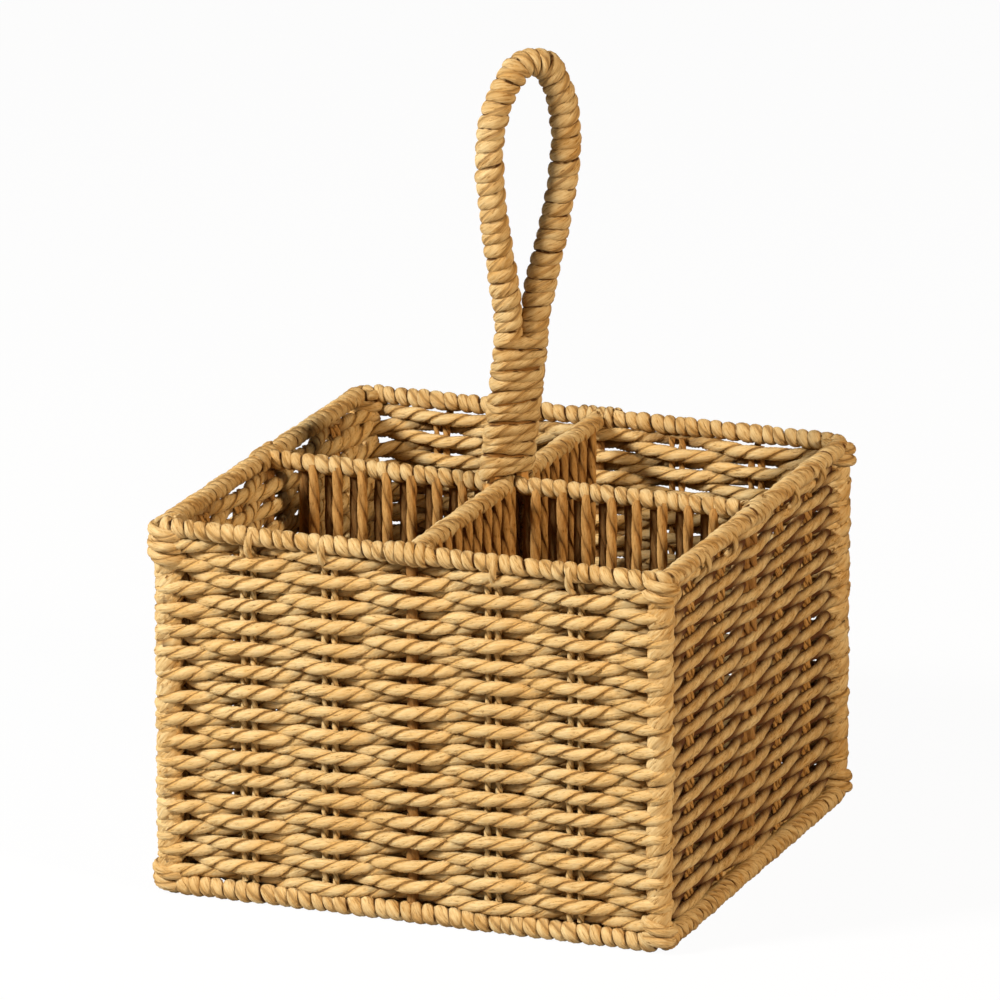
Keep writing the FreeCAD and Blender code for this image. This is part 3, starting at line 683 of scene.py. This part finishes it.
def woven_walls():
    for side, name in enumerate(SIDES):
        # The right wall takes the worn, darker paper: painted shade
        section, paper = (WORN_STRANDS, worn_shaded_paper) if name == "right" else (TWO_STRANDS, weft_paper)
        line = weft_line(side)
        wall = lay_rope(f"weft_rope_{name}", [line], WEFT_ROPES[side], WEFT_LAY, section, unevenness=0.09)
        outward = on_side([(0, -1, 0)], side)[0]
        # Painted shade on the ropes' backs where they lie deep in the wall, and between them at its middle
        mark_painted_shade(wall, section, outward, POST, BEHIND_DEPTH, MIDDLE_DEPTHS[side], PAINTED_SHADE_SHARES[side])
        finish(wall, paper, "woven_rope", f"weave_{name}")


# ---------------------------------------------------------------- rims

def rim_guide(level, side):
    """The middle of the rim wire on one side, from the middle of one bend to the middle of the next."""
    bend = np.radians(np.linspace(-45, 0, 6))
    right = np.column_stack([
        RING - RIM_BEND + RIM_BEND * -np.sin(bend),
        -RING + RIM_BEND - RIM_BEND * np.cos(bend),
    ])[::-1]
    left = right[::-1] * np.array([-1, 1])
    flat = np.vstack([left, right])
    return on_side(even_steps(np.column_stack([flat, np.full(len(flat), level)]), FINE_GUIDE_STEP), side)


def rims():
    for side, name in enumerate(SIDES):
        for label, level, roll, node_name in (
            ("rim_cord", RIM_LEVEL, RIM_ROLL, "rim_winding"),
            ("foot_cord", BASE_LEVEL, FOOT_ROLL, "base_winding"),
        ):
            turns = coil(rim_guide(level, side), UP, roll / 2 - CORD_INSET, RIM_PITCH, seed=side + level)
            cord = wind(f"{label}_{name}", [turns], **RIM_CORD, seed=side)
            finish(cord, rim_paper, "rim_winding", f"{node_name}_{name}")


# ---------------------------------------------------------------- dividers

def dividers():
    string_foot = corners("divider_strings_front")[0][2]
    for side, name in enumerate(SIDES):
        guide = straight_line((0, -DIVIDER_START, RIM_LEVEL), (0, -DIVIDER_END, RIM_LEVEL), GUIDE_STEP, side)
        turns = coil(guide, UP, RIM_ROLL / 2 - CORD_INSET, DIVIDER_PITCH, seed=side + 20)
        cord = wind(f"divider_cord_{name}", [turns], **RIM_CORD, seed=side + 4)
        finish(cord, rim_paper, "rim_winding", f"divider_winding_{name}")
        lines = []
        for number in STRING_NUMBERS:
            hand = 1 if number % 2 else -1
            place = -(FIRST_STRING + DIVIDER_PITCH * number) + STRING_SWAY * chance.uniform(-1, 1)
            sway = STRING_SWAY * chance.uniform(-1, 1, 4)
            points = [
                (hand * 2.1, place + sway[0], string_foot + 0.3),
                (hand * (2.1 + sway[1]), place + sway[1], RIM_LEVEL * 0.3),
                (hand * (2.1 + sway[2]), place + sway[2], RIM_LEVEL * 0.6),
                (hand * 2.2, place + sway[3], RIM_LEVEL - 16),
                (hand * 2.5, place, RIM_LEVEL - 7),
                (hand * 2.6, place, RIM_LEVEL - 3.5),
                (hand * 2.0, place - 0.3, RIM_LEVEL),
            ]
            lines.append(on_side(smooth_line(points, STRING_STEP), side))
        strings = lay_rope(f"divider_string_{name}", lines, thickness=4.3, lay=28.0)
        across = on_side([RIGHT], side)[0]
        # Painted shade on each string's face that looks to the divider's middle, and near the middle
        mark_painted_shade(strings, TWO_STRANDS, across, middle=0, behind_depth=1.8, middle_depth=1.0)
        finish(strings, shaded_string_paper, "divider_string", f"divider_strings_{name}")


# ---------------------------------------------------------------- stakes

def stakes():
    for side, name in enumerate(SIDES):
        # The front's stakes take the light weft paper, the other walls' the darker string paper: painted
        # shade
        shift, paper = (STAKE_SHIFT, weft_paper) if name == "front" else (-STAKE_SHIFT, shaded_string_paper)
        depth = POST + shift
        lines = []
        for step in STAKE_STEPS:
            for twin in (-1, 1):
                place = step * STAKE_SPACING + twin * STAKE_PAIR / 2
                points = [
                    (place, -depth, stake_low[2] + UPRIGHT_END),
                    (place + 0.2 * twin, -depth, 50),
                    (place - 0.2 * twin, -depth, 95),
                    (place, -depth, stake_high[2] - UPRIGHT_END),
                ]
                lines.append(on_side(smooth_line(points, UPRIGHT_STEP), side))
        cords = lay_rope(f"stake_cord_{name}", lines, thickness=3.2, lay=10.0, section=FINE_STRANDS)
        finish(cords, paper, "stake_cord", f"stakes_{name}")
        # Each stake's end is hooked over the rim
        hooks = []
        for step, lean in zip(STAKE_STEPS, HOOK_LEANS):
            place = step * STAKE_SPACING + lean * 2
            points = [
                (place, -POST - 0.2, RIM_LEVEL - 10.0),
                (place, -POST - 3.2, RIM_LEVEL - 7.6),
                (place + 0.3 * lean, -RING - 4.0, RIM_LEVEL - 4.2),
                (place + 0.7 * lean, -RING - 3.3, RIM_LEVEL + 0.6),
                (place + lean, -RING, RIM_LEVEL + 2.2),
                (place + 1.4 * lean, -RING + 2.0, RIM_LEVEL + 0.4),
            ]
            hooks.append(on_side(smooth_line(points, step=1.4), side))
        ends = lay_rope(f"stake_end_{name}", hooks, thickness=3.1, lay=16.0)
        finish(ends, knot_paper, "rim_winding")


def upright_wraps():
    """Paper rope laid along the wall stays and corner posts, and wound round the handle's legs. The
    right wall's stay has a rope on either side too, which fills its open weave."""
    places = [(side, along, -POST, 0.3) for side in range(4) for along in (0, POST)]
    places += [(1, along, STAY_ROPE_DEPTH - POST, 0) for along in (-STAY_ROPE_PLACE, STAY_ROPE_PLACE)]
    lines = []
    for side, along, depth, bend in places:
        points = [
            (along, depth, stake_low[2] + UPRIGHT_END),
            (along + bend, depth, 75),
            (along, depth, stake_high[2] - UPRIGHT_END),
        ]
        lines.append(on_side(smooth_line(points, UPRIGHT_STEP), side))
    wraps = lay_rope("post_and_stay_cord", lines, thickness=5.2, lay=24.0)
    # Painted shade: the whole cord is darkened half way to the dark brown, and takes the darker string paper
    note_painted_shade(wraps, np.full(len(wraps.data.vertices), 0.5))
    finish(wraps, shaded_string_paper, "stake_cord")
    strands = []
    for hand in (-1, 1):
        middle = hand * LEG_SPREAD * math.cos(HANDLE_TURN)
        guide = straight_line((middle, middle, stake_low[2]), (middle, middle, RIM_TOP - 14.0), GUIDE_STEP)
        strands.append(coil(guide, RIGHT, radius=3.2, pitch=4.6, steps=14, seed=hand + 31))
    legs = wind("leg_cord", strands, cover=1.08, thickness=2.0, lay=20, steps=14)
    finish(legs, rim_paper, "stake_cord")


# ---------------------------------------------------------------- corners

def corner_bindings():
    """Turns of cord that bind each corner post under the rim and above the foot."""
    bindings = [
        ("front_left", 0, RIM_LEVEL + 1.5, 3.3, 5.2),
        ("front_right", 1, RIM_LEVEL + 0.5, 1.6, 4.4),
        ("back_right", 2, RIM_LEVEL + 0.5, 2.2, 4.4),
        ("back_left", 3, RIM_LEVEL + 0.5, 2.2, 4.4),
    ]
    bindings += [(f"foot_{corner}", side, BASE_LEVEL + 8.5, 1.9, 4.4) for side, corner in enumerate(CORNERS)]
    for name, side, level, turns, radius in bindings:
        turn = np.linspace(0, turns, int(turns * 20) + 1)
        angle = TURN * turn + KNOT_START
        away = radius + KNOT_BULGE * np.sin(math.pi * turn / turns)
        line = np.column_stack([
            -POST + away * np.cos(angle),
            -POST + away * np.sin(angle),
            level - KNOT_PITCH * turn + KNOT_TILT * np.sin(angle),
        ])
        line = on_side(even_steps(line, step=1.5), side)
        cord = lay_rope(f"corner_binding_{name}", [line], thickness=5.2, lay=26.0)
        finish(cord, knot_paper, "rim_winding")


def corner_wraps():
    """Flat turns of cord down each corner, over the ends of the woven ropes."""
    for side, name in enumerate(CORNERS[1:] + CORNERS[:1]):
        foot, head = BASE_LEVEL + 4.0, RIM_LEVEL - 4.5
        guide = straight_line((POST, -POST, foot), (POST, -POST, head), GUIDE_STEP, side)
        radius = CORNER_ROLLS[side] / 2 - CORNER_INSET
        turns = coil(guide, RIGHT, radius, CORNER_PITCH, steps=20, seed=side * 5 + 2)
        wraps = wind(
            f"corner_wrap_{name}", [turns], cover=1.05, thickness=2.6, lay=40, steps=20, seed=side + 9
        )
        finish(wraps, corner_paper, "rim_winding")


def junction_bindings():
    """A few thick turns where each divider's end is bound to the rim."""
    for side, name in enumerate(SIDES):
        guide = straight_line((-7.5, -RING, RIM_LEVEL), (7.5, -RING, RIM_LEVEL), FINE_GUIDE_STEP, side)
        turns = coil(guide, UP, RIM_ROLL / 2 - BINDING_INSET, BINDING_PITCH, seed=side + 40)
        cord = wind(f"divider_binding_{name}", [turns], cover=1.1, thickness=2.6, lay=15, seed=side + 6)
        finish(cord, rim_paper, "rim_winding")


# ---------------------------------------------------------------- base

def base():
    reach = RING - BASE_INSET
    stations = np.linspace(-reach, reach, BASE_STATIONS)
    points = []
    for row in range(BASE_ROWS):
        hand = 1 if row % 2 == 0 else -1
        place = -reach + 2 * reach * row / (BASE_ROWS - 1)
        over = BASE_RISE * hand * bow(stations, BASE_BOW_SHAPE)
        run = np.column_stack([stations, np.full(BASE_STATIONS, place), CROSS_LEVEL + over])
        points += list(run[::hand])
    rope = lay_rope("base_rope", [smooth_line(points, BASE_STEP)], thickness=4.4, lay=16.0)
    finish(rope, weft_paper, "woven_rope", "base_weave")
    warp_low, warp_high = corners("base_warps")
    lines = []
    for step in STAKE_STEPS:
        place = step * STAKE_SPACING
        points = [
            (place, warp_low[1] + 0.3, CROSS_LEVEL),
            (place + 0.3, 0, CROSS_LEVEL),
            (place, warp_high[1] - 0.3, CROSS_LEVEL),
        ]
        lines.append(smooth_line(points, UPRIGHT_STEP))
    warps = lay_rope("base_warp_cord", lines, thickness=2.7, lay=9.0, section=FINE_STRANDS)
    # The warps take the darker string paper: painted shade
    finish(warps, shaded_string_paper, "stake_cord", "base_warps")


# ---------------------------------------------------------------- handle

def in_handle(across, aside, up):
    """Points given across the loop, out of its plane and above the rim, set in the leaning, turned loop."""
    across = across + np.interp(up, STRAY_HEIGHTS, STRAYS)
    leaned = across * math.cos(HANDLE_LEAN) + up * math.sin(HANDLE_LEAN) + HANDLE_SHIFT
    height = -across * math.sin(HANDLE_LEAN) + up * math.cos(HANDLE_LEAN) + RIM_TOP
    return np.column_stack([
        leaned * math.cos(HANDLE_TURN) - aside * math.sin(HANDLE_TURN),
        leaned * math.sin(HANDLE_TURN) + aside * math.cos(HANDLE_TURN),
        height,
    ])


def loop():
    """Cord wound along the loop, thicker near the stem, and on one side, where it was pulled less tight."""
    half = np.array(LOOP_HALF, float)
    whole = np.vstack([half, half[::-1] * np.array([-1, 1])])
    flat = smooth_line(np.column_stack([whole[:, 0], np.zeros(len(whole)), whole[:, 1]]), FINE_GUIDE_STEP)
    across, aside, up = flat.T
    swell = np.interp(up, SWELL_HEIGHTS, SWELLS) + SIDE_SWELL * np.clip(across / 8, 0, 1)
    guide = in_handle(across - np.sign(across) * swell * 0.8, aside, up)
    plane_normal = (-math.sin(HANDLE_TURN), math.cos(HANDLE_TURN), 0)
    pitch = np.interp(up, CROWN_HEIGHTS, (LOOP_PITCH, CROWN_PITCH))
    turns = coil(guide, plane_normal, HANDLE_ROLL / 2 - 1.5 + swell, pitch, steps=20, seed=9)
    cord = wind("loop_cord", [turns], cover=1.1, thickness=3.5, lay=21, steps=20, seed=3, plump=0.09)
    finish(cord, handle_paper, "handle_winding", "loop_winding")


def stem():
    """Cord that goes round both legs in a long oval, its turns now above and now over each other, on a
    first layer of turns."""
    near = LEG_SPACING / 2
    radius = HANDLE_ROLL / 2 - 1.6
    turn = np.arange(STEM_TURNS * STEM_STEPS + 1) / STEM_STEPS
    angle = TURN * turn
    across = near * np.clip(2.2 * np.cos(angle), -1, 1) + radius * np.cos(angle)
    aside = radius * np.sin(angle) * (1 - 0.06 * np.cos(2 * angle))
    stray = 1.2 * np.sin(angle + 2.1 * np.sin(turn * 1.9))
    rise = STEM_FOOT + 2.4 + turn * (STEM_LENGTH - 4.4) / STEM_TURNS + stray
    line = in_handle(across, aside, rise)
    out = in_handle(across + np.cos(angle), aside + np.sin(angle), rise) - line
    cord = wind(
        "stem_cord", [(line, out)], cover=1.1, thickness=3.9, lay=19, steps=STEM_STEPS, seed=12, plump=0.1
    )
    finish(cord, handle_paper, "handle_winding", "stem_winding")
    under = in_handle(across * 0.88, aside * 0.75, rise + STEM_LENGTH / STEM_TURNS / 2)
    turns = (under[:-STEM_STEPS], out[:-STEM_STEPS])
    layer = wind("stem_first_layer", [turns], cover=1.1, thickness=2.6, lay=24, steps=STEM_STEPS)
    # The first layer takes the darker string paper: painted shade where it shows between the turns above
    finish(layer, shaded_string_paper, "handle_winding")


# ---------------------------------------------------------------- build the caddy

woven_walls()
rims()
dividers()
stakes()
upright_wraps()
corner_bindings()
corner_wraps()
junction_bindings()
base()
loop()
stem()

# The bare wires keep the CAD's shape and get their paint
for name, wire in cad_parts.items():
    if "wire" in name or "post" in name or "stay" in name:
        for slot_index in range(len(wire.material_slots)):
            wire.material_slots[slot_index].material = painted_wire

# The ropes are meshes by now, so their outlines can go
for section in (TWO_STRANDS, WORN_STRANDS, FINE_STRANDS):
    bpy.data.objects.remove(section)


# ---------------------------------------------------------------- floor, light and camera

def seen_straight(tree):
    """One for what the camera sees, straight, in a shine or through glass, and nought for other light."""
    rays = node(tree, "ShaderNodeLightPath").outputs
    straight = sums(tree, "MAXIMUM", rays["Is Camera Ray"], rays["Is Glossy Ray"])
    return sums(tree, "MAXIMUM", straight, rays["Is Transmission Ray"])


def mix_shaders(tree, share, first, second, output):
    mixed = node(tree, "ShaderNodeMixShader")
    for place, value in enumerate((share, first.outputs[0], second.outputs[0])):
        feed(tree, mixed.inputs[place], value)
    feed(tree, output.inputs[0], mixed.outputs[0])


def coloured(tree, kind, colour, strength=None):
    """A plain shader with its colour and, where it shines, its strength."""
    made = node(tree, kind)
    made.inputs["Color"].default_value = colour
    if strength is not None:
        made.inputs["Strength"].default_value = strength
    return made


def pale_floor():
    """A floor that looks white, with a faint shadow."""
    bpy.ops.mesh.primitive_plane_add(size=14)
    floor = bpy.context.active_object
    floor.name = "floor"
    pale = bpy.data.materials.new("pale_floor")
    pale.use_nodes = True
    tree = pale.node_tree
    tree.nodes.clear()
    output = node(tree, "ShaderNodeOutputMaterial")
    soft = coloured(tree, "ShaderNodeBsdfDiffuse", (0.5, 0.5, 0.5, 1))
    glow = coloured(tree, "ShaderNodeEmission", (1, 1, 1, 1), 1.03)
    mix_shaders(tree, sums(tree, "MULTIPLY", seen_straight(tree), 0.93), soft, glow, output)
    floor.data.materials.append(pale)


def white_room():
    """A world that looks white and gives a faint, warm light."""
    world = bpy.data.worlds.new("studio")
    bpy.context.scene.world = world
    world.use_nodes = True
    tree = world.node_tree
    tree.nodes.clear()
    output = node(tree, "ShaderNodeOutputWorld")
    faint = coloured(tree, "ShaderNodeBackground", (1, 0.94, 0.84, 1), 0.02)
    white = coloured(tree, "ShaderNodeBackground", (1, 1, 1, 1), 1.0)
    mix_shaders(tree, seen_straight(tree), faint, white, output)


def lamps():
    """A key light from the front left, and a warmer fill from the right."""
    middle = Vector((0, 0, 0.12))
    for name, place, size, power, colour in (
        ("key", (-1.35, -1.35, 1.4), 0.45, 80, (1, 0.97, 0.93)),
        ("fill", (1.7, -0.6, 1.0), 0.35, 31, (1, 0.76, 0.50)),
    ):
        lamp = bpy.data.lights.new(name, "AREA")
        lamp.size = size
        lamp.energy = power
        lamp.color = colour
        holder = bpy.data.objects.new(name, lamp)
        holder.location = place
        holder.rotation_euler = (middle - Vector(place)).to_track_quat("-Z", "Y").to_euler()
        bpy.context.collection.objects.link(holder)


def camera():
    """A long lens, from the right of the front and a little above."""
    view = bpy.data.cameras.new("camera")
    view.lens = 345.4
    view.sensor_width = 36
    view.clip_end = 50
    holder = bpy.data.objects.new("camera", view)
    turn, rise, distance = math.radians(21.23), math.radians(16.19), 3.789
    look = Vector((-0.0033, 0, 0.1423))
    back = Vector((math.sin(turn) * math.cos(rise), -math.cos(turn) * math.cos(rise), math.sin(rise)))
    holder.location = look + back * distance
    holder.rotation_euler = (-back).to_track_quat("-Z", "Y").to_euler()
    bpy.context.collection.objects.link(holder)
    bpy.context.scene.camera = holder
    bpy.context.scene.view_settings.view_transform = "Standard"


pale_floor()
white_room()
lamps()
camera()
